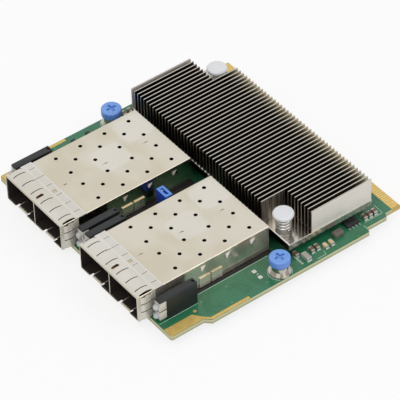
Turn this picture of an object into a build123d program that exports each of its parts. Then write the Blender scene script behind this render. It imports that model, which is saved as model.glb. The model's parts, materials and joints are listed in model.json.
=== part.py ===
from build123d import *

import os

# Mezzanine network card with two double transceiver cages, in millimetres.
# X runs along the row of ports, Y from the ports' mouth to the contact tongue, Z up.
# The origin is under the middle of the card, level with the tips of the push pins.

os.makedirs("parts", exist_ok=True)

# Transceiver cages: two ports each, places measured back from the mouth
port_width = 14.05
cage_sheet = 0.25
divider_sheet = 0.3
cage_length = 48.7
cage_height = 9.7
cage_corner = 0.4
cage_gap = 9.9
cage_offset = -0.5
cage_overhang = 3.9
floor_gap = 0.3
foot_radius = 0.6
leg_width = 0.7
leg_reach = 1.0
leg_count = 5
leg_start = 9.5
leg_end = 4.8
leg_room = 0.2
vent_radius = 0.66
vent_sides = 12
vent_line = 3.97
vent_start = 16.4
vent_end = 4.76
vent_count = 4
divider_tab_length = 1.5
divider_tab_start = 11.6
divider_tab_end = 6.7
divider_tab_count = 3
tab_room = 0.04

# Circuit board: strips beside the cages, steps in its sides, a tail behind the heatsink
board_thickness = 1.57
side_strip = 12.35
nose_step = 1.8
nose_length = 11.9
jog_length = 1.8
tail_length = 8.8
shoulder_length = 8.3
step_slope = 0.6
tongue_length = 6.6
tongue_step = 1.4
tongue_margin = 0.65
board_corner = 0.8
tongue_corner = 1.3
tongue_bevel = 0.3

# Gold on the board
copper = 0.04
contact_count = 106
contact_pitch = 0.8
contact_width = 0.5
contact_length = 3.0
ground_pad_gap = 1.85
ground_pad_length = 12.0
ground_pad_slope = 1.85
ground_pad_margin = 0.12
ground_strip_width = 1.1
ground_strip_left = 11.6
ground_strip_right = 14.0

# Latch tongue in each port's floor and the clip tabs on the cage's sides
latch_width = 4.6
latch_notch_width = 0.65
latch_notch_depth = 1.5
latch_slit = 0.2
latch_front = 2.3
latch_back = 11.5
latch_reach = 1.8
latch_drop = 0.35
latch_hole = 2.4
clip_start = 22.6
clip_length = 3.9
clip_gap = 0.5
clip_height = 4.1
clip_lip = 0.2
kick_start = 23.25
kick_end = 7.05
kick_count = 3
kick_length = 1.7
kick_height = 1.3
kick_depth = 0.55
kick_level = 7.0

# Spring collar round each cage's mouth
collar_sheet = 0.2
collar_start = 0.15
finger_start = 1.1
finger_end = 5.6
finger_bulge = 0.45
collar_end = 6.6
strap_end = 9.5
strap_slit_start = 7.0
strap_slit_end = 9.1
strap_slit = 0.2
finger_slit = 0.35
finger_half = 2.65
finger_pitch = 4.6
finger_pairs = 3
side_slit_levels = (3.5, 6.5)
corner_slit = 0.6
collar_hook = 3.2
eye_length = 2.7
eye_width = 1.1
eye_place = 2.7
window_size = 1.4
window_place = 7.6
window_shift = 0.6

# Host connector at the back of each port
connector_side = 1.3
connector_depth = 9.4
connector_height = 6.0
connector_back = 3.1
connector_wall = 1.0
connector_slot_height = 1.5
connector_slot_depth = 5.5
connector_slot_level = 3.5
connector_room = 0.6
connector_edge = 0.4
pin_count = 10
pin_pitch = 0.8
pin_width = 0.35
pin_thickness = 0.2
pin_length = 4.6

# Indicator blocks: a dark holder whose roof runs over two lamps
holder_width = 2.5
holder_gap = 1.9
holder_end = 18.65
holder_slot_width = 1.1
holder_slot_length = 0.8
holder_slot_depth = 0.6
holder_slot_margin = 0.3
holder_roof = 0.75
holder_bevel = 0.3
roof_front = 4.9
lamp_back = 7.4
lamp_depth = 2.6
lamp_height = 3.2
lamp_level = 0.9
lamp_gap = 0.25
lamp_room = 0.2
lens_radius = 1.05
lens_reach = 1.3
lens_bevel = 0.5

# Heatsink, chip and thermal pad
sink_gap = 2.6
sink_depth = 31.9
sink_base = 2.3
sink_margin = 0.2
fin_height = 8.2
fin_count = 50
fin_pitch = 1.605
fin_thickness = 0.42
pocket_fins = 8
pocket_depth = 8.9
chip_size = 25.0
chip_substrate = 1.1
lid_size = 22.0
lid_height = 1.4
lid_corner = 0.8
pad_size = 20.0
pad_thickness = 0.3

# Push pins that hold the heatsink, placed in from its side and its end
push_side = 7.1
push_inset = 3.55
push_head_radius = 3.3
push_head = 1.2
push_head_edge = 0.35
push_neck_radius = 1.75
push_neck = 0.9
push_shaft_radius = 1.45
push_room = 0.15
push_barb_radius = 1.95
push_barb_tip = 0.8
push_barb_land = 0.5
push_slot = 0.8
push_slot_depth = 4.2
push_reach = 3.0
push_top = 11.5
push_spring_room = 0.25
push_spring_wire = 0.5
push_spring_turns = 4.0
spring_wire_sides = 4

# Captive thumbscrews, placed in from the board's side and ahead of the cage's rear
screw_edge = 3.55
screw_inset = 3.2
ferrule_socket = 2.4
ferrule_wall = 0.45
ferrule_brim = 0.65
ferrule_flange = 0.6
ferrule_step_radius = 3.0
ferrule_step = 0.4
barrel_wall = 0.5
ferrule_barrel_top = 3.0
ferrule_ledge = 0.6
ferrule_room = 0.05
shank_radius = 1.2
shank_room = 0.1
thread_radius = 1.5
thread_length = 2.6
thread_bevel = 0.3
thread_room = 0.15
knob_wall = 0.55
knob_bottom = 3.9
knob_top = 6.4
knob_recess = 1.1
knob_recess_room = 0.15
knob_edge = 0.35
cross_length = 3.4
cross_width = 0.85
cross_depth = 0.8
anchor_radius = 1.8
anchor_height = 0.5
spring_room = 0.27
lift_spring_wire = 0.36
lift_spring_turns = 4.0

# Jumper between the cages
jumper_place = 35.0
header_pitch = 2.54
header_width = 2.4
header_height = 2.4
header_pin = 0.64
header_pin_top = 7.0
header_pin_reach = 1.0
header_pin_bevel = 0.16
header_hole_radius = 0.5
cap_width = 2.6
cap_length = 5.0
cap_height = 5.0
cap_wall_room = 0.05
cap_slot = 0.9
cap_slot_depth = 1.2

# Chip parts: places are in from the board's side and back from the thumbscrew
cap_end = 0.4
cap_end_lip = 0.03
small_cap = (2.0, 1.2, 1.1)
right_cap_places = ((6.0, 8.0), (4.5, 12.8), (4.5, 14.85))
left_cap_places = ((2.85, 5.15), (2.85, 7.45))
tan_cap = (2.0, 1.2, 0.9)
tan_cap_places = ((3.4, 17.25), (3.45, 19.5))
big_cap = (3.2, 1.7, 1.2)
big_cap_places = ((3.15, 9.75),)
inductor_size = (2.2, 3.3, 1.6)
inductor_places = ((4.85, 23.25),)
inductor_corner = 0.3
regulator_size = (3.0, 4.6, 1.0)
regulator_places = ((6.4, 29.5),)
regulator_lead = (0.8, 0.42, 0.2)
regulator_lead_pitch = 1.27
regulator_lead_count = 4
small_chip = (2.0, 1.3, 0.9)
small_chip_places = ((3.75, -14.7), (3.45, -9.1))

# Chip parts on the board's shoulder: places are in from its side and ahead of the tongue's end
rear_cap_places = ((3.75, 12.3), (3.75, 10.4), (3.7, 8.5))

# Widths that follow from the ports and the contacts
port_pitch = port_width + divider_sheet
cage_width = 2 * port_width + divider_sheet + 2 * cage_sheet
cage_spacing = cage_width + cage_gap
board_width = cage_spacing + cage_width + 2 * side_strip
nose_width = board_width - 2 * nose_step
tongue_width = (contact_count - 1) * contact_pitch + contact_width + 2 * tongue_margin
shoulder_width = tongue_width + 2 * tongue_step
connector_width = port_width - 2 * connector_side
sink_width = (fin_count - 1) * fin_pitch + fin_thickness + 2 * sink_margin

# Levels
board_bottom = push_reach
board_top = board_bottom + board_thickness
cage_top = board_top + cage_height
floor_bottom = board_top + floor_gap
floor_top = floor_bottom + cage_sheet
ceiling = cage_top - cage_sheet
sink_bottom = board_top + chip_substrate + lid_height + pad_thickness
sink_top = sink_bottom + sink_base
holder_height = lamp_level + 2 * lamp_height + lamp_gap + lamp_room + holder_roof

# Places along the card
card_length = cage_length + sink_gap + sink_depth + tail_length
mouth_y = -card_length / 2
front_y = mouth_y + cage_overhang
rear_y = mouth_y + card_length
cage_rear = mouth_y + cage_length
sink_y = cage_rear + sink_gap + sink_depth / 2
screw_y = cage_rear - screw_inset
connector_y = cage_rear - connector_back - connector_depth
jumper_y = mouth_y + jumper_place


def spread(start, end, count):
    """Places spaced evenly from one distance behind the mouth to another ahead of the cage's rear."""
    pitch = (cage_length - start - end) / (count - 1)
    return [mouth_y + start + i * pitch for i in range(count)]


leg_levels = spread(leg_start, leg_end, leg_count)
tab_levels = spread(divider_tab_start, divider_tab_end, divider_tab_count)
kick_levels = spread(kick_start, kick_end, kick_count)
vent_levels = spread(vent_start, vent_end, vent_count)

# Places of the pieces that come in pairs or rows
cage_places = {"left": cage_offset - cage_spacing / 2, "right": cage_offset + cage_spacing / 2}
port_places = [x + side * port_pitch / 2 for x in cage_places.values() for side in (-1, 1)]
holder_places = [x + side * (cage_width / 2 + holder_gap + holder_width / 2)
                 for x in cage_places.values() for side in (-1, 1)]
push_x = sink_width / 2 - push_side
push_y = sink_depth / 2 - push_inset
push_places = {"front": (push_x, sink_y - push_y), "rear": (-push_x, sink_y + push_y)}
push_hole_radius = push_shaft_radius + push_room
screw_x = board_width / 2 - screw_edge
screw_places = {"left": (-screw_x, screw_y), "right": (screw_x, screw_y)}
ferrule_sleeve_radius = ferrule_socket + ferrule_wall
header_pins = [(cage_offset + side * header_pitch / 2, jumper_y) for side in (-1, 1)]
UP = (Align.CENTER, Align.CENTER, Align.MIN)
DOWN = (Align.CENTER, Align.CENTER, Align.MAX)
BACK = (Align.CENTER, Align.MIN, Align.MIN)


def save(part, name):
    part.label = name
    export_step(part, f"parts/{name}.step")


# Board with its stepped sides, contact tongue and holes
tongue_start = rear_y - tongue_length
shoulder_start = tongue_start - shoulder_length
leg_slot = leg_width + 2 * leg_room
with BuildPart() as circuit_board:
    with BuildSketch(Plane.XY.offset(board_bottom)) as outline:
        with BuildLine():
            Polyline(
                (0, front_y),
                (nose_width / 2, front_y),
                (nose_width / 2, front_y + nose_length),
                (board_width / 2, front_y + nose_length + jog_length),
                (board_width / 2, shoulder_start),
                (shoulder_width / 2, shoulder_start + step_slope),
                (shoulder_width / 2, tongue_start),
                (tongue_width / 2, tongue_start + step_slope),
                (tongue_width / 2, rear_y),
                (0, rear_y),
            )
            mirror(about=Plane.YZ)
        make_face()
        fillet(outline.vertices().filter_by_position(Axis.Y, front_y, front_y)
               .filter_by(lambda v: abs(v.X) > 1), board_corner)
        fillet(outline.vertices().filter_by_position(Axis.Y, rear_y, rear_y)
               .filter_by(lambda v: abs(v.X) > 1), tongue_corner)
    extrude(amount=board_thickness)
    tongue_edges = circuit_board.edges().filter_by(Axis.X).group_by(Axis.Y)[-1]
    chamfer(tongue_edges, tongue_bevel)
    with BuildSketch(Plane.XY.offset(board_bottom)):
        with Locations(*push_places.values()):
            Circle(push_hole_radius)
        with Locations(*screw_places.values()):
            Circle(ferrule_sleeve_radius + ferrule_room)
        with Locations(*header_pins):
            Circle(header_hole_radius)
        for cage_x in cage_places.values():
            leg_x = (cage_width - cage_sheet) / 2
            with Locations(*[(cage_x + side * leg_x, y) for side in (-1, 1) for y in leg_levels]):
                Rectangle(cage_sheet + 2 * leg_room, leg_slot)
            with Locations(*[(cage_x, y) for y in tab_levels]):
                Rectangle(divider_sheet + 2 * leg_room, leg_slot)
    extrude(amount=board_thickness, mode=Mode.SUBTRACT)
save(circuit_board.part, "circuit_board")

# Two rows of tongue contacts and the bare ground pads on the side edges
contact_y = rear_y - tongue_bevel - contact_length / 2
for row, level, align in (("top", board_top, UP), ("bottom", board_bottom, DOWN)):
    with BuildPart() as contacts:
        with Locations((0, contact_y, level)):
            with GridLocations(contact_pitch, 0, contact_count, 1):
                Box(contact_width, contact_length, copper, align=align)
    save(contacts.part, f"edge_contacts_{row}")

with BuildPart() as ground_pads:
    pad_inner = max(map(abs, holder_places)) + holder_width / 2 + ground_pad_gap
    pad_outer = nose_width / 2 - ground_pad_margin
    pad_front = front_y + ground_pad_margin
    strip_outer = board_width / 2 - ground_pad_margin
    strip_front = pad_front + ground_pad_length + jog_length
    for s, strip_length in ((-1, ground_strip_left), (1, ground_strip_right)):
        with BuildSketch(Plane.XY.offset(board_top)):
            with BuildLine():
                Polyline(
                    (s * pad_inner, pad_front),
                    (s * pad_outer, pad_front),
                    (s * pad_outer, pad_front + ground_pad_length),
                    (s * strip_outer, strip_front),
                    (s * strip_outer, strip_front + strip_length),
                    (s * (strip_outer - ground_strip_width), strip_front + strip_length),
                    (s * (strip_outer - ground_strip_width), strip_front),
                    (s * (pad_outer - ground_strip_width), pad_front + ground_pad_length),
                    (s * pad_inner, pad_front + ground_pad_length - ground_pad_slope),
                    close=True,
                )
            make_face()
    extrude(amount=copper)
save(ground_pads.part, "ground_pads")

# Cages: folded shell, floor, divider and spring collar
for side, cage_x in cage_places.items():
    wall = cage_width / 2
    with BuildPart() as shell:
        with Locations((cage_x, mouth_y, floor_top)):
            Box(cage_width, cage_length, cage_top - floor_top, align=BACK)
        fillet(shell.edges().filter_by(Axis.Y).group_by(Axis.Z)[-1], cage_corner)
        mouth = shell.faces().sort_by(Axis.Y)[0]
        underside = shell.faces().sort_by(Axis.Z)[0]
        offset(amount=-cage_sheet, openings=[mouth, underside])
        with BuildSketch(Plane.XY.offset(ceiling)):
            for port_x in (cage_x - port_pitch / 2, cage_x + port_pitch / 2):
                for near, far in zip(vent_levels, vent_levels[1:] + [None]):
                    with Locations((port_x - vent_line, near), (port_x + vent_line, near)):
                        RegularPolygon(vent_radius, vent_sides)
                    if far is not None:
                        with Locations((port_x, (near + far) / 2)):
                            RegularPolygon(vent_radius, vent_sides)
            with Locations(*[(cage_x, y) for y in tab_levels]):
                Rectangle(divider_sheet + 2 * tab_room, divider_tab_length + 2 * tab_room)
        extrude(amount=cage_sheet, mode=Mode.SUBTRACT)
        with Locations(*[(cage_x + s * (wall - cage_sheet / 2), y, floor_top)
                         for s in (-1, 1) for y in leg_levels]):
            Box(cage_sheet, leg_width, floor_top - board_bottom + leg_reach, align=DOWN)
        for s in (-1, 1):
            for kick_y in kick_levels:
                kick_place = (cage_x + s * wall, kick_y, board_top + kick_level)
                with BuildSketch(Plane(kick_place, (s, 0, 0), (0, -s, 0))):
                    with BuildLine():
                        Polyline((0, 0), (kick_depth, 0), (0, kick_height), close=True)
                    make_face()
                extrude(amount=-s * kick_length)
    save(shell.part, f"cage_shell_{side}")

    with BuildPart() as floor:
        with Locations((cage_x, mouth_y, floor_bottom)):
            Box(cage_width, cage_length, cage_sheet, align=BACK)
        leg_notch = cage_sheet + leg_room
        with Locations(*[(cage_x + s * (wall - leg_notch / 2), y, floor_bottom)
                         for s in (-1, 1) for y in leg_levels]):
            Box(leg_notch, leg_width + 2 * leg_room, cage_sheet, align=UP, mode=Mode.SUBTRACT)
        with Locations(*[(cage_x, y, floor_bottom) for y in tab_levels]):
            Box(divider_sheet + 2 * tab_room, leg_width + 2 * tab_room, cage_sheet, align=UP,
                mode=Mode.SUBTRACT)
        for port_x in (cage_x - port_pitch / 2, cage_x + port_pitch / 2):
            with Locations((port_x, connector_y - connector_room, floor_bottom)):
                Box(connector_width + 2 * connector_room, connector_depth + 2 * connector_room, cage_sheet,
                    align=BACK, mode=Mode.SUBTRACT)
            with Locations((port_x, mouth_y, floor_bottom)):
                Box(latch_width + 2 * latch_slit, latch_back, cage_sheet, align=BACK, mode=Mode.SUBTRACT)
                Box(latch_width + 2 * latch_notch_width, latch_notch_depth, cage_sheet, align=BACK,
                    mode=Mode.SUBTRACT)
            with BuildSketch(Plane((port_x - latch_width / 2, mouth_y, floor_bottom), (0, 1, 0), (1, 0, 0))):
                with BuildLine():
                    inner = Line((latch_back, 0), (latch_front, 0))
                    low = TangentArc(inner @ 1, (latch_front - latch_reach, -latch_drop), tangent=inner % 1)
                    lip = low % 1
                    tip = Line(low @ 1, low @ 1 + Vector(lip.Y, -lip.X) * cage_sheet)
                    high = TangentArc(tip @ 1, (latch_front, cage_sheet), tangent=-lip)
                    Line(high @ 1, (latch_back, cage_sheet))
                    Line((latch_back, cage_sheet), (latch_back, 0))
                make_face()
            extrude(amount=latch_width)
            with BuildSketch(Plane((port_x, mouth_y + latch_back / 2, floor_bottom))):
                RegularPolygon(latch_hole / 2, 3, rotation=90)
            extrude(amount=cage_sheet, mode=Mode.SUBTRACT)
        for s in (-1, 1):
            for start in (clip_start, clip_start + clip_length + clip_gap):
                face_x = cage_x + s * wall
                with BuildSketch(Plane((face_x, mouth_y + start, board_top), (s, 0, 0), (0, -s, 0))):
                    with BuildLine():
                        Polyline(
                            (0, floor_gap),
                            (cage_sheet, floor_gap),
                            (cage_sheet, clip_height - cage_sheet),
                            (cage_sheet + clip_lip, clip_height - cage_sheet),
                            (cage_sheet + clip_lip, clip_height),
                            (0, clip_height),
                            close=True,
                        )
                    make_face()
                extrude(amount=-s * clip_length)
        foot_x = wall - cage_sheet - 2 * foot_radius
        foot_y = (leg_levels[0] + leg_levels[1]) / 2, (leg_levels[2] + leg_levels[3]) / 2
        with Locations(*[(cage_x + s * foot_x, y, board_top) for s in (-1, 1) for y in foot_y]):
            Cylinder(foot_radius, floor_gap, align=UP)
    save(floor.part, f"cage_floor_{side}")

    with BuildPart() as divider:
        with Locations((cage_x, mouth_y + cage_sheet, floor_top)):
            Box(divider_sheet, cage_length - 2 * cage_sheet, ceiling - floor_top, align=BACK)
        with Locations(*[(cage_x, y, ceiling) for y in tab_levels]):
            Box(divider_sheet, divider_tab_length, cage_sheet, align=UP)
        with Locations(*[(cage_x, y, floor_top) for y in tab_levels]):
            Box(divider_sheet, leg_width, floor_top - board_bottom + leg_reach, align=DOWN)
    save(divider.part, f"cage_divider_{side}")

    with BuildPart() as collar:
        top_plane = Plane((cage_x, mouth_y, cage_top), (0, 1, 0), (1, 0, 0))
        side_planes = [Plane((cage_x + s * wall, mouth_y, floor_bottom), (0, 1, 0), (0, 0, -s))
                       for s in (-1, 1)]
        side_height = cage_top - floor_bottom
        for plane, end in [(top_plane, strap_end)] + [(p, collar_end) for p in side_planes]:
            crest = (finger_start + finger_end) / 2
            with BuildSketch(plane):
                with BuildLine():
                    Polyline((finger_start, 0), (collar_start, 0), (collar_start, collar_sheet),
                             (finger_start, collar_sheet))
                    ThreePointArc((finger_start, collar_sheet), (crest, finger_bulge + collar_sheet),
                                  (finger_end, collar_sheet))
                    Polyline((finger_end, collar_sheet), (end, collar_sheet), (end, 0), (finger_end, 0))
                    ThreePointArc((finger_end, 0), (crest, finger_bulge), (finger_start, 0))
                make_face()
            if plane is top_plane:
                extrude(amount=wall + collar_sheet, both=True)
            else:
                extrude(amount=plane.z_dir.Z * side_height)
        slit_middle = mouth_y + (finger_start + finger_end) / 2
        slit_length = finger_end - finger_start
        slit_height = finger_bulge + collar_sheet
        finger_lines = [finger_half + i * finger_pitch for i in range(finger_pairs)]
        slit_xs = [s * line for s in (-1, 1) for line in finger_lines]
        with Locations(*[(cage_x + x, slit_middle, cage_top) for x in slit_xs]):
            Box(finger_slit, slit_length, slit_height, align=UP, mode=Mode.SUBTRACT)
        strap_middle = mouth_y + (strap_slit_start + strap_slit_end) / 2
        with Locations(*[(cage_x + x, strap_middle, cage_top) for x in slit_xs]):
            Box(strap_slit, strap_slit_end - strap_slit_start, slit_height, align=UP, mode=Mode.SUBTRACT)
        with Locations((cage_x - finger_lines[1], mouth_y + finger_start, cage_top)):
            Box(strap_slit, strap_end - finger_start, slit_height, align=BACK, mode=Mode.SUBTRACT)
        for s in (-1, 1):
            with Locations((cage_x + s * wall, slit_middle, cage_top)):
                Box(2 * corner_slit, slit_length, 2 * slit_height, mode=Mode.SUBTRACT)
            with Locations(*[(cage_x + s * wall, slit_middle, board_top + level)
                             for level in side_slit_levels]):
                Box(2 * slit_height, slit_length, finger_slit, mode=Mode.SUBTRACT)
            hook_x = cage_x + s * (wall + collar_sheet - collar_hook / 2)
            with Locations((hook_x, mouth_y + collar_start, floor_bottom)):
                Box(collar_hook, finger_start - collar_start, collar_sheet,
                    align=(Align.CENTER, Align.MIN, Align.MAX))
        with BuildSketch(Plane.XY.offset(cage_top)):
            with Locations((cage_x, mouth_y + eye_place)):
                SlotOverall(eye_length, eye_width, rotation=90)
            with Locations((cage_x + window_shift, mouth_y + window_place)):
                Rectangle(window_size, window_size)
        extrude(amount=slit_height, mode=Mode.SUBTRACT)
    save(collar.part, f"cage_collar_{side}")

# Host connectors and their contacts
slot_bottom = board_top + connector_slot_level
slot_top = slot_bottom + connector_slot_height
for number, port_x in enumerate(port_places, 1):
    with BuildPart() as connector:
        with Locations((port_x, connector_y, board_top)):
            Box(connector_width, connector_depth, connector_height, align=BACK)
        chamfer(connector.edges().group_by(Axis.Y)[0], connector_edge)
        with Locations((port_x, connector_y, slot_bottom)):
            Box(connector_width - 2 * connector_wall, connector_slot_depth, connector_slot_height, align=BACK,
                mode=Mode.SUBTRACT)
    save(connector.part, f"port_connector_{number}")
    with BuildPart() as port_contacts:
        pin_y = connector_y + connector_slot_depth - pin_length / 2
        for level, align in ((slot_bottom, UP), (slot_top, DOWN)):
            with Locations((port_x, pin_y, level)):
                with GridLocations(pin_pitch, 0, pin_count, 1):
                    Box(pin_width, pin_length, pin_thickness, align=align)
    save(port_contacts.part, f"port_contacts_{number}")

# Indicator blocks
for number, holder_x in enumerate(holder_places, 1):
    with BuildPart() as holder:
        with BuildSketch(Plane((holder_x - holder_width / 2, mouth_y, board_top), (0, 1, 0), (1, 0, 0))):
            with BuildLine():
                Polyline(
                    (lamp_back, 0),
                    (holder_end, 0),
                    (holder_end, holder_height),
                    (roof_front + holder_bevel, holder_height),
                    (roof_front, holder_height - holder_bevel),
                    (roof_front, holder_height - holder_roof),
                    (lamp_back, holder_height - holder_roof),
                    close=True,
                )
            make_face()
        extrude(amount=holder_width)
        with Locations((holder_x, mouth_y + holder_end - holder_slot_margin, board_top + holder_height)):
            Box(
                holder_slot_width,
                holder_slot_length,
                holder_slot_depth,
                align=(Align.CENTER, Align.MAX, Align.MAX),
                mode=Mode.SUBTRACT,
            )
    save(holder.part, f"led_holder_{number}")
    with BuildPart() as lamps:
        for level in (lamp_level, lamp_level + lamp_height + lamp_gap):
            with Locations((holder_x, mouth_y + lamp_back, board_top + level)):
                Box(holder_width, lamp_depth, lamp_height, align=(Align.CENTER, Align.MAX, Align.MIN))
            lens_middle = (holder_x, mouth_y + lamp_back - lamp_depth, board_top + level + lamp_height / 2)
            with BuildSketch(Plane(lens_middle, (1, 0, 0), (0, -1, 0))):
                Circle(lens_radius)
            extrude(amount=lens_reach)
        chamfer(lamps.edges().group_by(Axis.Y)[0], lens_bevel)
    save(lamps.part, f"led_lamps_{number}")

# Controller, thermal pad and heatsink
with BuildPart() as controller_chip:
    with Locations((0, sink_y, board_top)):
        Box(chip_size, chip_size, chip_substrate, align=UP)
save(controller_chip.part, "controller_substrate")

with BuildPart() as controller_lid:
    with Locations((0, sink_y, board_top + chip_substrate)):
        Box(lid_size, lid_size, lid_height, align=UP)
    fillet(controller_lid.edges().filter_by(Axis.Z), lid_corner)
save(controller_lid.part, "controller_lid")

with BuildPart() as thermal_pad:
    with Locations((0, sink_y, board_top + chip_substrate + lid_height)):
        Box(pad_size, pad_size, pad_thickness, align=UP)
save(thermal_pad.part, "thermal_pad")

with BuildPart() as heatsink:
    with Locations((0, sink_y, sink_bottom)):
        Box(sink_width, sink_depth, sink_base, align=UP)
    with Locations((0, sink_y, sink_top)):
        with GridLocations(fin_pitch, 0, fin_count, 1):
            Box(fin_thickness, sink_depth, fin_height, align=UP)
    pocket_width = sink_width / 2 - (fin_count / 2 - pocket_fins) * fin_pitch
    for s in (-1, 1):
        with Locations((s * (sink_width - pocket_width) / 2, sink_y - s * (sink_depth - pocket_depth) / 2,
                        sink_top)):
            Box(pocket_width, pocket_depth, fin_height, align=UP, mode=Mode.SUBTRACT)
    with BuildSketch(Plane.XY.offset(sink_bottom)):
        with Locations(*push_places.values()):
            Circle(push_hole_radius)
    extrude(amount=sink_base, mode=Mode.SUBTRACT)
save(heatsink.part, "heatsink")


def coil_spring(place, bottom, length, radius, wire, turns):
    """A coil with its two ends ground flat."""
    path_start = Plane((place[0], place[1], bottom - wire / 2))
    travel = length + wire
    with BuildPart() as coil:
        with BuildLine(path_start) as path:
            Helix(travel / turns, travel, radius)
        with BuildSketch(Plane(path.line @ 0, z_dir=path.line % 0)):
            RegularPolygon(wire / 2, spring_wire_sides)
        sweep(is_frenet=True)
        with Locations((place[0], place[1], bottom)):
            Box(4 * radius, 4 * radius, length, align=UP, mode=Mode.INTERSECT)
    return coil.part


# Push pins: headed and split, with their springs
push_head_bottom = board_top + push_top - push_head
push_neck_bottom = push_head_bottom - push_neck
push_spring_radius = push_neck_radius + push_spring_room + push_spring_wire / 2
for place_name, place in push_places.items():
    with BuildPart() as push_pin:
        with BuildSketch(Plane((place[0], place[1], 0), (1, 0, 0), (0, -1, 0))):
            with BuildLine():
                Polyline(
                    (0, 0),
                    (push_barb_tip, 0),
                    (push_barb_radius, push_reach - push_barb_land),
                    (push_barb_radius, push_reach),
                    (push_shaft_radius, push_reach),
                    (push_shaft_radius, push_neck_bottom),
                    (push_neck_radius, push_neck_bottom),
                    (push_neck_radius, push_head_bottom),
                    (push_head_radius, push_head_bottom),
                    (push_head_radius, push_head_bottom + push_head - push_head_edge),
                    (push_head_radius - push_head_edge, push_head_bottom + push_head),
                    (0, push_head_bottom + push_head),
                    close=True,
                )
            make_face()
        revolve(axis=Axis((place[0], place[1], 0), (0, 0, 1)))
        with Locations((place[0], place[1], 0)):
            Box(push_slot, 4 * push_barb_radius, push_slot_depth, align=UP, mode=Mode.SUBTRACT)
    save(push_pin.part, f"push_pin_{place_name}")
    spring = coil_spring(place, sink_top, push_head_bottom - sink_top, push_spring_radius, push_spring_wire,
                         push_spring_turns)
    save(spring, f"push_pin_spring_{place_name}")

# Captive thumbscrews: ferrule, spring, screw and knob
ledge_top = board_top
ledge_bottom = ledge_top - ferrule_ledge
recess_top = board_top + knob_bottom + knob_recess
lift_spring_radius = shank_radius + spring_room + lift_spring_wire / 2
ferrule_bore = lift_spring_radius + lift_spring_wire / 2 + spring_room
barrel_radius = ferrule_bore + barrel_wall
flange_radius = ferrule_sleeve_radius + ferrule_brim
recess_radius = barrel_radius + knob_recess_room
knob_radius = recess_radius + knob_wall
for side, place in screw_places.items():
    axis = Axis((place[0], place[1], 0), (0, 0, 1))
    section = Plane((place[0], place[1], 0), (1, 0, 0), (0, -1, 0))
    with BuildPart() as ferrule:
        with BuildSketch(section):
            with BuildLine():
                Polyline(
                    (ferrule_socket, board_bottom),
                    (ferrule_sleeve_radius, board_bottom),
                    (ferrule_sleeve_radius, board_top),
                    (flange_radius, board_top),
                    (flange_radius, board_top + ferrule_flange),
                    (ferrule_step_radius, board_top + ferrule_flange),
                    (ferrule_step_radius, board_top + ferrule_flange + ferrule_step),
                    (barrel_radius, board_top + ferrule_flange + ferrule_step),
                    (barrel_radius, board_top + ferrule_barrel_top),
                    (ferrule_bore, board_top + ferrule_barrel_top),
                    (ferrule_bore, ledge_top),
                    (shank_radius + shank_room, ledge_top),
                    (shank_radius + shank_room, ledge_bottom),
                    (ferrule_socket, ledge_bottom),
                    close=True,
                )
            make_face()
        revolve(axis=axis)
    save(ferrule.part, f"screw_ferrule_{side}")

    thread_top = ledge_bottom - thread_room
    with BuildPart() as screw:
        with BuildSketch(section):
            with BuildLine():
                Polyline(
                    (0, thread_top - thread_length),
                    (thread_radius - thread_bevel, thread_top - thread_length),
                    (thread_radius, thread_top - thread_length + thread_bevel),
                    (thread_radius, thread_top),
                    (shank_radius, thread_top),
                    (shank_radius, recess_top),
                    (anchor_radius, recess_top),
                    (anchor_radius, recess_top + anchor_height),
                    (0, recess_top + anchor_height),
                    close=True,
                )
            make_face()
        revolve(axis=axis)
    save(screw.part, f"captive_screw_{side}")

    with BuildPart() as knob:
        with BuildSketch(section):
            with BuildLine():
                Polyline(
                    (0, recess_top + anchor_height),
                    (anchor_radius, recess_top + anchor_height),
                    (anchor_radius, recess_top),
                    (recess_radius, recess_top),
                    (recess_radius, board_top + knob_bottom),
                    (knob_radius, board_top + knob_bottom),
                    (knob_radius, board_top + knob_top),
                    (0, board_top + knob_top),
                    close=True,
                )
            make_face()
        revolve(axis=axis)
        chamfer(knob.edges().group_by(Axis.Z)[-1], knob_edge)
        with Locations((place[0], place[1], board_top + knob_top)):
            Box(cross_length, cross_width, cross_depth, align=DOWN, mode=Mode.SUBTRACT)
            Box(cross_width, cross_length, cross_depth, align=DOWN, mode=Mode.SUBTRACT)
    save(knob.part, f"thumbscrew_knob_{side}")

    spring = coil_spring(place, ledge_top, recess_top - ledge_top, lift_spring_radius, lift_spring_wire,
                         lift_spring_turns)
    save(spring, f"screw_spring_{side}")

# Two-pin header with its jumper cap
with BuildPart() as header:
    with Locations(*[(x, y, board_top) for x, y in header_pins]):
        Box(header_pitch, header_width, header_height, align=UP)
        Box(header_pin, header_pin, header_height, align=UP, mode=Mode.SUBTRACT)
save(header.part, "jumper_header")

with BuildPart() as pins:
    with Locations(*[(x, y, board_bottom - header_pin_reach) for x, y in header_pins]):
        Box(header_pin, header_pin, board_thickness + header_pin_reach + header_pin_top, align=UP)
    chamfer(pins.edges().group_by(Axis.Z)[-1], header_pin_bevel)
save(pins.part, "jumper_pins")

with BuildPart() as cap:
    cap_bottom = board_top + header_height
    with Locations((cage_offset, jumper_y, cap_bottom)):
        Box(cap_length, cap_width, cap_height, align=UP)
    cap_opening = header_pin + 2 * cap_wall_room
    with Locations(*[(x, y, cap_bottom) for x, y in header_pins]):
        Box(cap_opening, cap_opening, cap_height, align=UP, mode=Mode.SUBTRACT)
    with Locations((cage_offset, jumper_y, cap_bottom + cap_height)):
        Box(header_pitch + cap_opening, cap_slot, cap_slot_depth, align=DOWN, mode=Mode.SUBTRACT)
save(cap.part, "jumper_cap")


def strip_spots(places, side=1):
    """Places on the strip beside a cage, on the right or, with side -1, on the left."""
    return [(side * (board_width / 2 - inset), screw_y + back, board_top) for inset, back in places]


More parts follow.
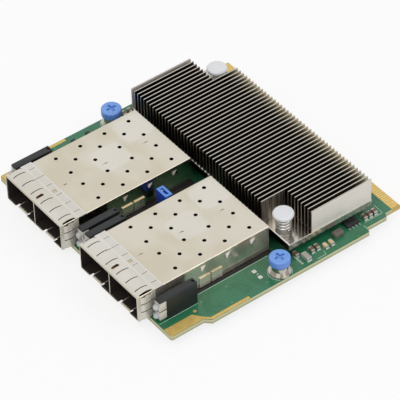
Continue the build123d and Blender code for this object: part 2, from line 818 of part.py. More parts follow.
def chip_capacitors(sizes_and_spots, name):
    """Ceramic bodies in one node and their metal ends in another."""
    with BuildPart() as bodies:
        for (length, width, height), spots in sizes_and_spots:
            with Locations(*spots):
                Box(length - 2 * cap_end, width, height, align=UP)
    save(bodies.part, f"{name}_bodies")
    with BuildPart() as ends:
        for (length, width, height), spots in sizes_and_spots:
            with Locations(*spots):
                with GridLocations(length - cap_end, 0, 2, 1):
                    Box(cap_end, width + cap_end_lip, height + cap_end_lip, align=UP)
    save(ends.part, f"{name}_ends")


rear_spots = [(shoulder_width / 2 - inset, rear_y - ahead, board_top) for inset, ahead in rear_cap_places]
small_spots = strip_spots(right_cap_places) + strip_spots(left_cap_places, -1) + rear_spots
chip_capacitors([(small_cap, small_spots), (big_cap, strip_spots(big_cap_places))], "capacitor")
chip_capacitors([(tan_cap, strip_spots(tan_cap_places))], "tan_capacitor")

with BuildPart() as inductor:
    with Locations(*strip_spots(inductor_places)):
        Box(*inductor_size, align=UP)
    fillet(inductor.edges().filter_by(Axis.Z), inductor_corner)
save(inductor.part, "power_inductor")

regulator_spots = strip_spots(regulator_places)
with BuildPart() as regulator:
    with Locations(*regulator_spots):
        Box(*regulator_size, align=UP)
save(regulator.part, "regulator_chip")

with BuildPart() as leads:
    with Locations(*regulator_spots):
        lead_row = regulator_size[0] + regulator_lead[0]
        with GridLocations(lead_row, regulator_lead_pitch, 2, regulator_lead_count):
            Box(*regulator_lead, align=UP)
save(leads.part, "regulator_leads")

with BuildPart() as small_chips:
    with Locations(*strip_spots(small_chip_places, -1)):
        Box(*small_chip, align=UP)
save(small_chips.part, "small_chips")
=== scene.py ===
# %% [markdown]
# # Dressing a mezzanine network card
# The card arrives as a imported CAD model: one object for each real piece, in metres, already
# riding on its body. This lesson gives every piece its finish, adds the fine details that
# belong to looks rather than to construction, and sets a plain studio around it.

# %% Load the frame
import json
from math import atan2, cos, hypot, pi, radians, sin, tau

import bmesh
import bpy
from mathutils import Matrix, Vector

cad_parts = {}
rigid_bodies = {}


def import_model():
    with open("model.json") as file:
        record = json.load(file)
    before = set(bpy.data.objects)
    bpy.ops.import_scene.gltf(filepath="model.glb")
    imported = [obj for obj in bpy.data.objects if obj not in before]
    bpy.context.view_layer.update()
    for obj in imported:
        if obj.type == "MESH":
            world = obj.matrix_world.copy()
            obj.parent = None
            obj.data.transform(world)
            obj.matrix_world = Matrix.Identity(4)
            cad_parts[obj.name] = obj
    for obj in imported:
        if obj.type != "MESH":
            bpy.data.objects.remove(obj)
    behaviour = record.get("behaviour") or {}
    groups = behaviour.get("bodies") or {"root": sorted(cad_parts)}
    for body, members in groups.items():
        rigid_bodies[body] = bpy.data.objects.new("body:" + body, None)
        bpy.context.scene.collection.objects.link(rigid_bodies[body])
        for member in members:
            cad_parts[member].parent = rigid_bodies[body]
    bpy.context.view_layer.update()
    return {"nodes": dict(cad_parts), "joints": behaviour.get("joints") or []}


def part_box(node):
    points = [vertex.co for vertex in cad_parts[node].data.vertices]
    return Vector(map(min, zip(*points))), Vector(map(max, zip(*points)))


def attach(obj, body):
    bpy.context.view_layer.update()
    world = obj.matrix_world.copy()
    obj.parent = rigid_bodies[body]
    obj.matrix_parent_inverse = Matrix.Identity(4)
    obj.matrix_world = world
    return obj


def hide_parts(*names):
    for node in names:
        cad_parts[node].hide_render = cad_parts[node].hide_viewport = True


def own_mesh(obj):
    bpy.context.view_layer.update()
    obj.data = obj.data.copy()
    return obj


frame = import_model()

MM = 0.001

# %% [markdown]
# ## Levels that the rest of the lesson builds on
# Every place is read from the frame, so a detail follows its carrier when the CAD changes.
# The board's two faces, the cages' mouth and the cages' boxes are enough for most of it.

# %% Read the main levels
board_low, board_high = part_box("circuit_board")
board_top = board_high.z
board_bottom = board_low.z
cage_boxes = [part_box("cage_shell_left"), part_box("cage_shell_right")]
mouth = cage_boxes[0][0].y
cage_top = cage_boxes[0][1].z
cage_rear = cage_boxes[0][1].y
print("board", board_bottom, board_top, "mouth", mouth, "cage top", cage_top)

# %% [markdown]
# ## Camera
# The photograph is taken from far away with a long lens, so parallel edges stay nearly
# parallel. The camera's three axes follow from its azimuth, elevation and a little roll, and
# a matrix with these axes as columns avoids the guesswork of Euler angles.

# %% Place the camera
azimuth, elevation, roll = (radians(angle) for angle in (54.415, 43.178, -2.216))
camera_place = (0.54115, mouth - 0.3394, 0.62557)
toward_camera = Vector((
    sin(azimuth) * cos(elevation),
    -cos(azimuth) * cos(elevation),
    sin(elevation),
))
level = Vector((cos(azimuth), sin(azimuth), 0))
rise = toward_camera.cross(level)
right = level * cos(roll) + rise * sin(roll)
up = rise * cos(roll) - level * sin(roll)
scene = bpy.context.scene
camera_data = bpy.data.cameras.new("camera")
camera_data.lens = 267.13
camera_data.sensor_width = 36
camera = bpy.data.objects.new("camera", camera_data)
axes = Matrix((right, up, toward_camera)).transposed().to_4x4()
camera.matrix_world = Matrix.Translation(camera_place) @ axes
scene.collection.objects.link(camera)
scene.camera = camera
print("camera looks along", -toward_camera)

# %% [markdown]
# ## Shader arithmetic
# Finishes are easier to read as sums than as a web of nodes. A Wire wraps one socket, and
# each operator on it adds a Math node. A Graph makes every other kind of node through one
# method, and a Finish is a material that starts from one Principled shader.

# %% Wires
class Wire:
    """A node socket that can stand in a Python expression."""

    def __init__(self, graph, socket):
        self.graph = graph
        self.socket = socket

    def math(self, operation, first, second=0.0):
        return self.graph.node("ShaderNodeMath", {"operation": operation}, {0: first, 1: second})

    def __add__(self, other):
        return self.math("ADD", self, other)

    def __sub__(self, other):
        return self.math("SUBTRACT", self, other)

    def __rsub__(self, other):
        return self.math("SUBTRACT", other, self)

    def __mul__(self, other):
        return self.math("MULTIPLY", self, other)

    def __truediv__(self, other):
        return self.math("DIVIDE", self, other)

    def __rtruediv__(self, other):
        return self.math("DIVIDE", other, self)

    def __mod__(self, other):
        return self.math("FLOORED_MODULO", self, other)

    def __rmod__(self, other):
        return self.math("FLOORED_MODULO", other, self)

    def __pow__(self, other):
        return self.math("POWER", self, other)

    def __rpow__(self, other):
        return self.math("POWER", other, self)

    def __lt__(self, other):
        return self.math("LESS_THAN", self, other)

    def __gt__(self, other):
        return self.math("GREATER_THAN", self, other)

    def __abs__(self):
        return self.math("ABSOLUTE", self)

    __radd__ = __add__
    __rmul__ = __mul__


print("wire operators ready")

# %% Graphs
class Graph:
    """A node tree that is filled by calls."""

    def __init__(self, tree):
        self.tree = tree

    def node(self, kind, settings=None, inputs=None, out=0):
        made = self.tree.nodes.new(kind)
        for name, value in (settings or {}).items():
            if name == "stops":
                self.set_stops(made.color_ramp.elements, value)
            else:
                setattr(made, name, value)
        for name, value in (inputs or {}).items():
            self.feed(made.inputs[name], value)
        return Wire(self, made.outputs[out])

    def set_stops(self, elements, stops):
        for element, (place, colour) in zip(elements, stops):
            element.position = place
            element.color = colour

    def feed(self, socket, value):
        if isinstance(value, Wire):
            self.tree.links.new(value.socket, socket)
        else:
            socket.default_value = value


print("graph ready")

# %% Screen colours
def paint(red, green, blue):
    """A colour as it looks on a screen, 0 to 255, in Blender's linear values."""
    return [((value / 255 + 0.055) / 1.055) ** 2.4 for value in (red, green, blue)] + [1.0]


print("mid grey is", paint(128, 128, 128))

# %% Finishes
class Finish(Graph):
    """A material on one Principled shader, in the coordinates of the piece itself."""

    def __init__(self, name, constants):
        self.material = bpy.data.materials.new(name)
        self.material.use_nodes = True
        super().__init__(self.material.node_tree)
        self.shader = self.tree.nodes["Principled BSDF"]
        for socket, value in constants.items():
            self.shader.inputs[socket].default_value = value
        self.place = self.node("ShaderNodeTexCoord", out="Object")
        self.facing = self.node("ShaderNodeTexCoord", out="Normal")

    def set(self, socket, value):
        self.feed(self.shader.inputs[socket], value)

    def split(self, vector):
        first = self.node("ShaderNodeSeparateXYZ", inputs={0: vector})
        return [Wire(self, socket) for socket in first.socket.node.outputs]

    def noise(self, size, detail, stretch=(1, 1, 1)):
        scale = [1 / (size * factor) for factor in stretch]
        where = self.node("ShaderNodeVectorMath", {"operation": "MULTIPLY"}, {0: self.place, 1: scale})
        return self.node("ShaderNodeTexNoise", None, {"Vector": where, "Scale": 1.0, "Detail": detail})

    def ramp(self, value, dark, light, spread=0.2):
        """Two tones, with the change between them spread to both sides of one half."""
        stops = [(0.5 - spread, paint(*dark)), (0.5 + spread, paint(*light))]
        return self.node("ShaderNodeValToRGB", {"stops": stops}, {0: value})

    def blend(self, share, first, second):
        """A mix of two tones, each a wire or a screen colour."""
        first, second = (tone if isinstance(tone, Wire) else paint(*tone) for tone in (first, second))
        return self.node("ShaderNodeMix", {"data_type": "RGBA"}, {0: share, 6: first, 7: second}, out=2)

    def fade(self, value, start, end):
        limits = {"Value": value, "From Min": start, "From Max": end}
        return self.node("ShaderNodeMapRange", {"interpolation_type": "SMOOTHSTEP"}, limits)

    def over(self, share, tone):
        """Lay a tone over the colour so far, as much as the share says."""
        so_far = Wire(self, self.shader.inputs["Base Color"].links[0].from_socket)
        self.set("Base Color", self.blend(share, so_far, tone))

    def bump(self, height, depth, strength):
        raised = {"Strength": strength, "Distance": depth, "Height": height}
        self.set("Normal", self.node("ShaderNodeBump", None, raised))


print("finish kit ready")

# %% [markdown]
# ## Studio
# The object stands in a white light tent: even light from all sides, hardly any shadow. Many
# lamps could build that up, but one world colour does it evenly. Light paths raise it to plain
# white where the camera or a shiny surface looks at it, and two soft lamps give the round edges
# something to catch.

# %% World
world = bpy.data.worlds.new("light_tent")
world.use_nodes = True
scene.world = world
tent = Graph(world.node_tree)
fill = 0.72


def shown_directly(graph):
    """One for a ray from the camera, off a shiny surface or through a clear one."""
    paths = [graph.node("ShaderNodeLightPath", out=f"Is {kind} Ray")
             for kind in ("Camera", "Glossy", "Transmission")]
    total = paths[0] + paths[1] + paths[2]
    return total.math("MINIMUM", total, 1.0)


backdrop = world.node_tree.nodes["Background"]
backdrop.inputs["Color"].default_value = (1.0, 1.0, 1.0, 1.0)
tent.feed(backdrop.inputs["Strength"], fill + (1 - fill) * shown_directly(tent))
print("world fill", fill)

# %% Lamps and view
def soft_lamp(name, place, size, power):
    data = bpy.data.lights.new(name, "AREA")
    data.size = size
    data.energy = power
    lamp = bpy.data.objects.new(name, data)
    lamp.location = place
    lamp.rotation_euler = (-Vector(place)).to_track_quat("-Z", "Y").to_euler()
    scene.collection.objects.link(lamp)


soft_lamp("front_lamp", (0.35, -0.55, 1.05), 0.7, 3.2)
soft_lamp("side_lamp", (0.9, 0.35, 0.8), 0.6, 1.6)
scene.view_settings.view_transform = "Standard"
print("lamps", [light.name for light in bpy.data.lights])

# %% [markdown]
# ### Floor
# A sheet of white paper lies under the card. Plain white paint would come out grey beside a
# white backdrop, so the rays that show the paper directly see mostly a glow, and what is left
# of the paint keeps the shadow.

# %% Paper
floor_finish = Finish("pale_floor", {"Roughness": 0.9, "Specular IOR Level": 0.0})
paper = floor_finish.noise(4 * MM, 3.0)
floor_finish.set("Base Color", floor_finish.ramp(paper, (243, 243, 243), (248, 248, 248)))
glow = floor_finish.node("ShaderNodeEmission", None, {"Color": (1, 1, 1, 1), "Strength": 1.0})
glow_share = 0.8 * shown_directly(floor_finish)
surface = Wire(floor_finish, floor_finish.shader.outputs[0])
blended = floor_finish.node("ShaderNodeMixShader", None, {0: glow_share, 1: surface, 2: glow})
floor_finish.feed(floor_finish.tree.nodes["Material Output"].inputs["Surface"], blended)
print("floor finish", floor_finish.material.name)

# %% Floor
floor_mesh = bpy.data.meshes.new("floor")
reach = 4.0
floor_corners = [(-reach, -reach, 0), (reach, -reach, 0), (reach, reach, 0), (-reach, reach, 0)]
floor_mesh.from_pydata(floor_corners, [], [(0, 1, 2, 3)])
floor_mesh.materials.append(floor_finish.material)
floor = bpy.data.objects.new("floor", floor_mesh)
scene.collection.objects.link(floor)
print("floor at", floor.location.z)

# %% [markdown]
# ## Cage steel
# The cages are folded from nickel silver sheet. Its broad faces are satin and faintly blotchy,
# with a fine rolling grain along the ports, and the insides look almost black because light
# hardly finds its way in and out again, so that shade is painted on them. A second, dark
# material would need the inner faces picked by hand. The piece's own coordinates tell the
# inside from the outside instead, so one recipe serves the shells, floors, dividers and collars.

# %% Where the cages stand
def points_of(node):
    return [vertex.co for vertex in frame["nodes"][node].data.vertices]


cage_middle = sum(box[side].x for box in cage_boxes for side in (0, 1)) / 4
cage_offset = (cage_boxes[1][0].x + cage_boxes[1][1].x) / 2 - cage_middle
rear_wall = [point.x for point in points_of("cage_shell_left") if point.y > cage_rear - 0.01 * MM]
cage_half = (max(rear_wall) - min(rear_wall)) / 2
print("cages stand", cage_offset, "to each side of", cage_middle, "half width", cage_half)

# %% Rolled steel
sheet_middle = 0.12 * MM
inside_start = mouth + 0.4 * MM
floor_sheet_top = board_top + 0.42 * MM


def rolled_steel(name, warm, pale, rough):
    steel = Finish(name, {})
    x, y, z = steel.split(steel.place)
    cloud = steel.noise(16 * MM, 2.0, (1.0, 0.7, 1.0))
    smudge = steel.noise(3.5 * MM, 4.0)
    grain = steel.noise(0.22 * MM, 2.0, (1.0, 40.0, 1.0))
    rear = steel.fade(y, cage_rear - 14 * MM, cage_rear)
    # the tone turns paler towards the rear of the cages
    pale_share = steel.fade(cloud + 0.22 * rear + 0.10 * grain, 0.42, 0.72)
    steel.set("Base Color", steel.blend(pale_share, warm, pale))
    deep = (y > inside_start) * (z < cage_top - sheet_middle) * (z > floor_sheet_top)
    steel.inside = deep * (abs(abs(x - cage_middle) - cage_offset) < cage_half - sheet_middle)
    steel.set("Roughness", rough + 0.08 * smudge + 0.04 * grain)
    steel.bump(grain + 0.2 * smudge, 0.006 * MM, 0.3)
    return steel


print("sheet middle", sheet_middle)

# %% Cage and collar steel
def paint_inside_shade(steel, metallic):
    """Last step of a cage finish: painted shade, a dull dark tone on every face inside the cage."""
    steel.over(steel.inside, (50, 44, 42))
    steel.set("Metallic", metallic * (1 - steel.inside))


cage_steel = rolled_steel("cage_steel", (205, 197, 177), (213, 207, 193), 0.13)
collar_steel = rolled_steel("collar_steel", (208, 203, 191), (216, 212, 204), 0.20)
print("steels", cage_steel.material.name, collar_steel.material.name)

# %% [markdown]
# ### Tops of the cages
# The tops are a shade paler in soft round-cornered patches, and along each folded side a
# painted highlight stands for its shine. Masks from the piece's coordinates lay these tones over
# the steel; a painted picture would need the folded sheet unwrapped first.

# %% Cage tops
patch_places = [(-1.2, 30.0), (-7.8, 43.5)]
patch_half = Vector((5.2, 5.8)) * MM
collar_end = mouth + 9.3 * MM
x, y, z = cage_steel.split(cage_steel.place)
across = (abs(x - cage_middle) - cage_offset) * x.math("SIGN", x - cage_middle)
top_face = z > cage_top - 0.05 * MM
patched = 0.0
for off, along in patch_places:
    wide = abs(across - off * MM) / patch_half.x
    long = abs(y - mouth - along * MM) / patch_half.y
    patched = patched + cage_steel.fade(wide ** 4 + long ** 4, 1.5, 0.5)
cage_steel.over(0.5 * patched * top_face, (222, 219, 212))
# painted highlight along each folded side of the top
fold = top_face * (abs(across) > cage_half - 0.2 * MM) * (y > collar_end)
cage_steel.over(0.85 * fold, (248, 244, 232))
print("patches on each cage", len(patch_places))

# %% [markdown]
# ### Under the collar
# In front the shell passes under the spring collar. Light hardly gets between the two sheets,
# so what shows through the collar's slits is dark, and its two holes show a brown tone. The
# sheets lie too close for the renderer's own shadow to be that deep, so the tone is given.

# %% Shell under the collar
strap_start = mouth + 6.2 * MM
skin = top_face + (abs(across) > cage_half - 0.05 * MM)
hidden = skin * (y > mouth + 0.9 * MM) * (y < collar_end)
hole_tone = cage_steel.blend(y > strap_start, (158, 128, 94), (196, 184, 158))
slit_tone = cage_steel.blend(y > strap_start, (58, 48, 38), (150, 130, 100))
cage_steel.over(hidden, cage_steel.blend(abs(across) < 1.3 * MM, slit_tone, hole_tone))
print("collar covers the shell up to", collar_end)

# %% [markdown]
# ### Walls of the cages
# Small wedges are kicked out of the walls and look pointed, cut off along a slope. They could be
# cut to that point as meshes, but at their size painted tones along the same slope say as much:
# a painted highlight on the lit part, painted shade past it. The mesh tells where each wedge
# starts and ends.

# %% Kicked wedges
kick_floor = board_top + 6 * MM
kick_rise = 1.3 * MM
kick_tips = [point for point in points_of("cage_shell_right") if point.z > kick_floor
             and point.x > cage_middle + cage_offset + cage_half + 0.4 * MM]
kick_low = min(tip.z for tip in kick_tips)
kick_ends = sorted({round(tip.y, 5) for tip in kick_tips})
# the part of each wedge past its slope, which gets painted shade below
kick_shade = 0.0
for start, end in zip(kick_ends[::2], kick_ends[1::2]):
    run = (y - (start + end) / 2) / (end - start)
    slope = run - (z - kick_low) / kick_rise + 0.5
    kick_shade = kick_shade + (abs(run) < 0.6) * (slope > 0.15)
print("kicks between", kick_ends)

# %% [markdown]
# The walls are bright enough to mirror the board, with pale blotches. Those that face each other
# see only the dark gap between the cages, and a plainer, darker tone paints shade on them. The
# wedges and the upper edges of the clips tilt towards the light, so they are painted pale as a
# highlight.

# %% Cage walls
facing_x, _, facing_z = cage_steel.split(cage_steel.facing)
proud = abs(across) > cage_half + 0.08 * MM
on_kick = z > kick_floor
lit = proud * (on_kick * (1 - kick_shade) + (facing_z > 0.5) * (1 - on_kick))
wall = (abs(facing_x) > 0.7) * (1 - lit)
facing_gap = abs(x - cage_middle) < cage_offset
wall_blotch = cage_steel.fade(cage_steel.noise(4.5 * MM, 2.0, (1.0, 1.0, 2.2)), 0.36, 0.62)
wall_blotched_tone = cage_steel.blend(wall_blotch, (202, 190, 176), (238, 226, 212))
# the walls that face the gap get a plainer, darker tone as painted shade
wall_tone = cage_steel.blend(facing_gap, wall_blotched_tone, (206, 196, 180))
cage_steel.over(wall * (z > board_top), wall_tone)
print("wall at", cage_half, "from each cage's middle")

# %% Wedges and clips
# painted highlight on the wedges and on the upper edges of the clips
cage_steel.over(lit, cage_steel.blend(on_kick, (192, 178, 142), (210, 206, 196)))
# painted shade on the part of each wedge past its slope
cage_steel.over(proud * on_kick * kick_shade, (116, 113, 102))
clip_face = proud * (1 - on_kick) * (facing_z < 0.5)
cage_steel.over(0.6 * clip_face, (238, 230, 210))
paint_inside_shade(cage_steel, 0.82 + 0.18 * wall * facing_gap - 0.4 * lit - 0.2 * clip_face)
print("wedges", len(kick_ends) // 2, "on each wall")

# %% [markdown]
# ### Folds of the collar
# The collar is a strip of spring sheet, folded over the front of the cage. Its two shallow
# folds catch the light as fine pale lines, and the strap behind the fingers is a cooler tone.
# They are too shallow to show as shape, so a painted highlight stands for each.

# %% Collar folds
strap_fold = mouth + 6.5 * MM
fold_half = 0.09 * MM
y, z = collar_steel.split(collar_steel.place)[1:]
collar_steel.over(0.5 * (y > strap_fold), (208, 206, 201))
# painted highlights along the two folds of the collar
folds = 0.6 * (abs(y - strap_fold) < fold_half) + 0.6 * (abs(y - collar_end) < fold_half)
collar_steel.over(folds * (z > cage_top), (238, 236, 231))
collar_side = abs(collar_steel.split(collar_steel.facing)[0]) > 0.7
paint_inside_shade(collar_steel, 0.74 - 0.4 * collar_side)
print("folds at", strap_fold, collar_end)

# %% [markdown]
# ## Heatsink aluminium
# The fins were milled from one block. Each face gets its own tone: painted highlights on the
# narrow tips, painted shade on the dull sides between two fins, brushed walls in the open
# corners. Separate materials for each face would need the mesh cut up. The normal and the place
# tell the faces apart instead, and the open corners, where fins were milled away for the push
# pins, are found from the fin tips.

# %% Heatsink outline
sink_low, sink_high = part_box("heatsink")
sink_middle = (sink_low + sink_high) / 2
half_width = (sink_high.x - sink_low.x) / 2
half_depth = (sink_high.y - sink_low.y) / 2
fin_tips = [point for point in points_of("heatsink") if point.z > sink_high.z - 0.01 * MM]
front_tips = [tip.x for tip in fin_tips if tip.y < sink_low.y + 0.01 * MM]
corner_x = max(front_tips) - 0.2 * MM - sink_middle.x
corner_y = min(tip.y for tip in fin_tips if tip.x > sink_middle.x + corner_x + 0.5 * MM) - sink_middle.y
print("open corners start at", corner_x, corner_y)

# %% Heatsink faces
aluminium = Finish("sink_aluminium", {})
x, y, z = (axis - centre for axis, centre in zip(aluminium.split(aluminium.place), sink_middle))
facing_x, facing_y, facing_z = aluminium.split(aluminium.facing)
base_top = sink_low.z + 2.35 * MM - sink_middle.z
on_fin = z > base_top
upright = (abs(facing_x) > 0.6) * on_fin
outer = upright * (abs(x) > half_width - 1.2 * MM)
front_corner = (x > corner_x) * (y < corner_y)
rear_corner = (x < -corner_x) * (y > -corner_y)
in_corner = (upright - outer) * (front_corner + rear_corner)
between = (upright - outer) * (1 - front_corner) * (1 - rear_corner)
print("base top", base_top, "above the middle")

# %% [markdown]
# ### Fins
# Side walls carry fine upright streaks from the saw. Each tip gets a painted highlight along
# its middle and painted shade on its flanks, which keeps the fins apart in the picture where
# they are only a pixel wide. Rounded edges would give that in geometry; a tone by the distance
# from the fin's middle costs no faces. Towards the rear, where light comes through the gaps,
# the tips and the sides between fins are painted lighter.

# %% Fin tips
tip_rows = sorted({round(tip.x - sink_middle.x, 5) for tip in fin_tips})
fin_half = (tip_rows[1] - tip_rows[0]) / 2
fin_pitch = (tip_rows[-1] - tip_rows[1]) / (len(tip_rows) / 2 - 1)
off_fin = abs(((x - tip_rows[0] - fin_half) / fin_pitch + 0.5) % 1.0 - 0.5) * fin_pitch
# painted highlight along each tip's middle, painted shade on its flanks
tip_highlight = aluminium.fade(off_fin, 0.75 * fin_half, 0.4 * fin_half)
tip_highlight_tone = aluminium.blend(tip_highlight, (66, 61, 55), (220, 214, 203))
toward_rear = aluminium.fade(y, half_depth - 7 * MM, half_depth)
# tips are painted lighter towards the rear, where light comes through the gaps
tip_tone = aluminium.blend(0.7 * toward_rear, tip_highlight_tone, (212, 207, 196))
print("fins every", fin_pitch, "half", fin_half)

# %% Fin sides
streak = aluminium.noise(0.5 * MM, 2.0, (1.0, 1.0, 18.0))
cloud = aluminium.noise(9 * MM, 2.0)
brushed = aluminium.noise(0.35 * MM, 3.0, (1.0, 1.0, 30.0))
milled = aluminium.ramp(0.3 * streak + 0.7 * cloud, (196, 191, 183), (210, 206, 199))
aluminium.set("Base Color", aluminium.blend(0.4 * outer, milled, (232, 226, 217)))
aluminium.over(in_corner, aluminium.ramp(brushed, (104, 96, 86), (212, 205, 194), 0.14))
# painted shade on the sides between fins, lighter towards the rear where light comes through
aluminium.over(between, aluminium.blend(toward_rear, (98, 89, 80), (172, 167, 152)))
aluminium.over((facing_z > 0.6) * on_fin, tip_tone)
print("fin sides streaked")

# %% [markdown]
# ### Base
# The sawn front of the base lies in shade, painted on it as a dark tone. The upper edge of its
# side and the step in front of the fins catch the light as thin pale lines, painted as
# highlights. Rounding fifty fins for that would cost many faces, so masks near those edges turn
# the metal pale and dull.

# %% Heatsink base and sawn ends
edge_highlight_tone = (244, 240, 230)
flank = (abs(facing_x) > 0.6) * (1 - on_fin)
rim = flank * (z > base_top - 0.32 * MM)
lip = (facing_z > 0.6) * (1 - on_fin) * (y < 0.5 * MM - half_depth)
# painted highlights on the step in front of the fins and along the upper edge of the base's side
aluminium.over(lip, edge_highlight_tone)
aluminium.over(flank, aluminium.blend(rim, (203, 196, 190), edge_highlight_tone))
# painted shade on the sawn front of the base
aluminium.over(abs(facing_y) > 0.6, aluminium.blend(on_fin, (44, 40, 37), (176, 168, 157)))
aluminium.set("Metallic", 1.0 - 0.72 * outer - 0.85 * rim - 0.85 * lip)
aluminium.set("Roughness", 0.12 + 0.16 * on_fin + 0.06 * streak + 0.10 * flank)
aluminium.bump(streak, 0.004 * MM, 0.2)
print("heatsink from", sink_low.z, "to", sink_high.z)

# %% [markdown]
# ## Board
# A printed circuit board is glass cloth and resin under a green lacquer. Copper tracks under
# the lacquer show as slightly lighter lines, and small plated holes as dots. Thousands of
# meshes could draw them; a pattern that repeats, cut up by slow noise, reads the same.

# %% Board lacquer
board = Finish("board_lacquer", {"Coat Roughness": 0.12, "Specular IOR Level": 0.5})
x, y, z = board.split(board.place)
region = board.noise(7 * MM, 1.0)
weave = board.noise(0.35 * MM, 2.0)
track_pitch = 0.9 * MM
track_share = 0.42
lengthwise = ((x / track_pitch) % 1.0 < track_share) * (region > 0.50)
crosswise = ((y / track_pitch) % 1.0 < track_share) * (region < 0.40)
tracks = lengthwise + crosswise
board.set("Base Color", board.ramp(0.5 * weave + 0.5 * region, (28, 100, 66), (38, 114, 78)))
board.over(0.5 * tracks, (58, 132, 96))
dots = board.node("ShaderNodeTexVoronoi", None, {"Vector": board.place, "Scale": 420.0})
plated = (dots < 0.16) * (region > 0.44) * (region < 0.56)
board.over(0.7 * plated, (96, 140, 96))
print("tracks every", track_pitch)

# %% [markdown]
# ### Shade and cut edge
# Between the cages and at the foot of the heatsink the board hardly sees the tent, so shade is
# painted on it there. The cut edge shows its cream layers with thin copper lines between them,
# and the tongue at the rear is gold. Layers could be stacked as sheets, but a stripe that
# repeats with the height shows the same edge on the plain CAD board.

# %% Board shade
lane_front = mouth + 18.7 * MM
lane_rear = cage_rear + 4 * MM
lane = (abs(x - cage_middle) < cage_offset - cage_half) * (y > lane_front) * (y < lane_rear)
at_sink = (y > cage_rear) * (y < sink_low.y + 3 * MM) * (abs(x - sink_middle.x) < half_width)
upper_face = z > board_top - 0.05 * MM
# painted shade on the board's upper face in the lane and at the heatsink's foot
board.over(x.math("MAXIMUM", 0.55 * lane, 0.6 * at_sink) * upper_face, (12, 36, 26))
print("shaded lane from", lane_front, "to", lane_rear)

# %% Board edge
layer_height = (board_top - board_bottom) / 5
tongue_depth = 3.3 * MM
layer = ((z - board_bottom) / layer_height) % 1.0 < 0.22
higher = board.fade(z, board_bottom + 1.5 * layer_height, board_bottom + 3.5 * layer_height)
core = board.blend(higher, (168, 170, 130), (200, 195, 160))
cut_edge = abs(board.split(board.facing)[2]) < 0.5
board.over(cut_edge, board.blend(0.25 * layer, core, (136, 132, 92)))
board.over(y > board_high.y - tongue_depth, (196, 164, 92))
board.set("Roughness", 0.26 + 0.12 * weave + 0.3 * cut_edge)
board.set("Coat Weight", 0.25 - 0.25 * cut_edge)
board.bump(tracks + 0.3 * weave, 0.02 * MM, 0.5)
print("edge layers", layer_height)

# %% [markdown]
# ## Metals
# Gold, tin and nickel differ in colour and polish only. A flat colour would look like a plastic
# toy, and a full recipe for each would repeat itself, so one function makes them: a worn tone
# between two colours, with a roughness that wanders a little.

# %% Metals
def plated_metal(name, dark, light, rough, blotch=1.2 * MM, metallic=1.0):
    metal = Finish(name, {"Metallic": metallic})
    patch = metal.noise(blotch, 3.0)
    scratch = metal.noise(0.15 * MM, 1.0, (1.0, 12.0, 1.0))
    metal.set("Base Color", metal.ramp(0.8 * patch + 0.2 * scratch, dark, light, 0.18))
    metal.set("Roughness", rough + 0.10 * patch)
    metal.bump(patch + 0.5 * scratch, 0.004 * MM, 0.25)
    return metal


gold = plated_metal("contact_gold", (220, 190, 116), (238, 212, 140), 0.34)
pad_gold = plated_metal("pad_gold", (204, 172, 94), (222, 192, 114), 0.45, 2 * MM, 0.45)
tin = plated_metal("solder_tin", (186, 184, 180), (210, 208, 204), 0.34, 0.6 * MM, 0.7)
nickel = plated_metal("bright_nickel", (188, 186, 180), (222, 220, 214), 0.12)
spring_steel = plated_metal("spring_steel", (206, 203, 196), (230, 228, 222), 0.12, 0.8 * MM)
ferrule_nickel = plated_metal("ferrule_nickel", (178, 173, 164), (200, 196, 188), 0.13, 4 * MM)
pad_tin = plated_metal("pad_tin", (214, 214, 206), (232, 231, 224), 0.4, 0.6 * MM, 0.3)
print("metals", gold.material.name, tin.material.name, nickel.material.name)

# %% [markdown]
# ## Plastics, ceramics and chip compounds
# Moulded and fired pieces share one recipe too: two close tones mixed by fine noise, a slight
# skin texture, and a gloss of their own. What sets them apart is how fine and how deep it is.

# %% Moulded pieces
def moulded(name, dark, light, rough, grain=0.3 * MM, **constants):
    finish = Finish(name, {socket.replace("_", " "): value for socket, value in constants.items()})
    skin = finish.noise(grain, 3.0)
    cloud = finish.noise(grain * 14, 2.0)
    finish.set("Base Color", finish.ramp(0.6 * skin + 0.4 * cloud, dark, light))
    finish.set("Roughness", rough + 0.14 * skin)
    finish.bump(skin, 0.01 * MM, 0.5)
    return finish


nylon = moulded("white_nylon", (218, 219, 222), (232, 233, 236), 0.34, Subsurface_Weight=0.1,
                Subsurface_Scale=0.4 * MM)
knob_blue = moulded("knob_blue", (108, 152, 222), (120, 164, 232), 0.36)
jumper_blue = moulded("jumper_blue", (26, 58, 166), (38, 76, 188), 0.28)
holder_plastic = moulded("holder_plastic", (20, 22, 24), (29, 31, 34), 0.40)
connector_black = moulded("connector_black", (14, 14, 15), (26, 26, 28), 0.42)
chip_epoxy = moulded("chip_epoxy", (24, 24, 26), (42, 42, 45), 0.46, 0.12 * MM)
brown_ceramic = moulded("brown_ceramic", (100, 78, 61), (124, 98, 78), 0.30)
tan_ceramic = moulded("tan_ceramic", (214, 186, 132), (234, 208, 158), 0.32)
ferrite = moulded("ferrite", (98, 91, 83), (116, 108, 99), 0.48, 0.2 * MM)
pad_compound = moulded("thermal_compound", (150, 154, 158), (172, 176, 180), 0.7)
substrate_green = moulded("substrate_green", (26, 84, 58), (36, 98, 70), 0.3)
silk_white = moulded("silk_white", (164, 192, 176), (190, 210, 196), 0.5, 0.2 * MM)
film_black = moulded("insulating_film", (15, 14, 14), (26, 25, 24), 0.5)
slit_brown = moulded("slit_shadow", (74, 65, 52), (96, 86, 70), 0.6)
print("moulded finishes ready, film is", film_black.material.name)

# %% [markdown]
# ### Blue caps
# Faces turned up to the light look paler than the sides, so the jumper's top gets a painted
# highlight and the knob's sides painted shade, both by the normal's height.

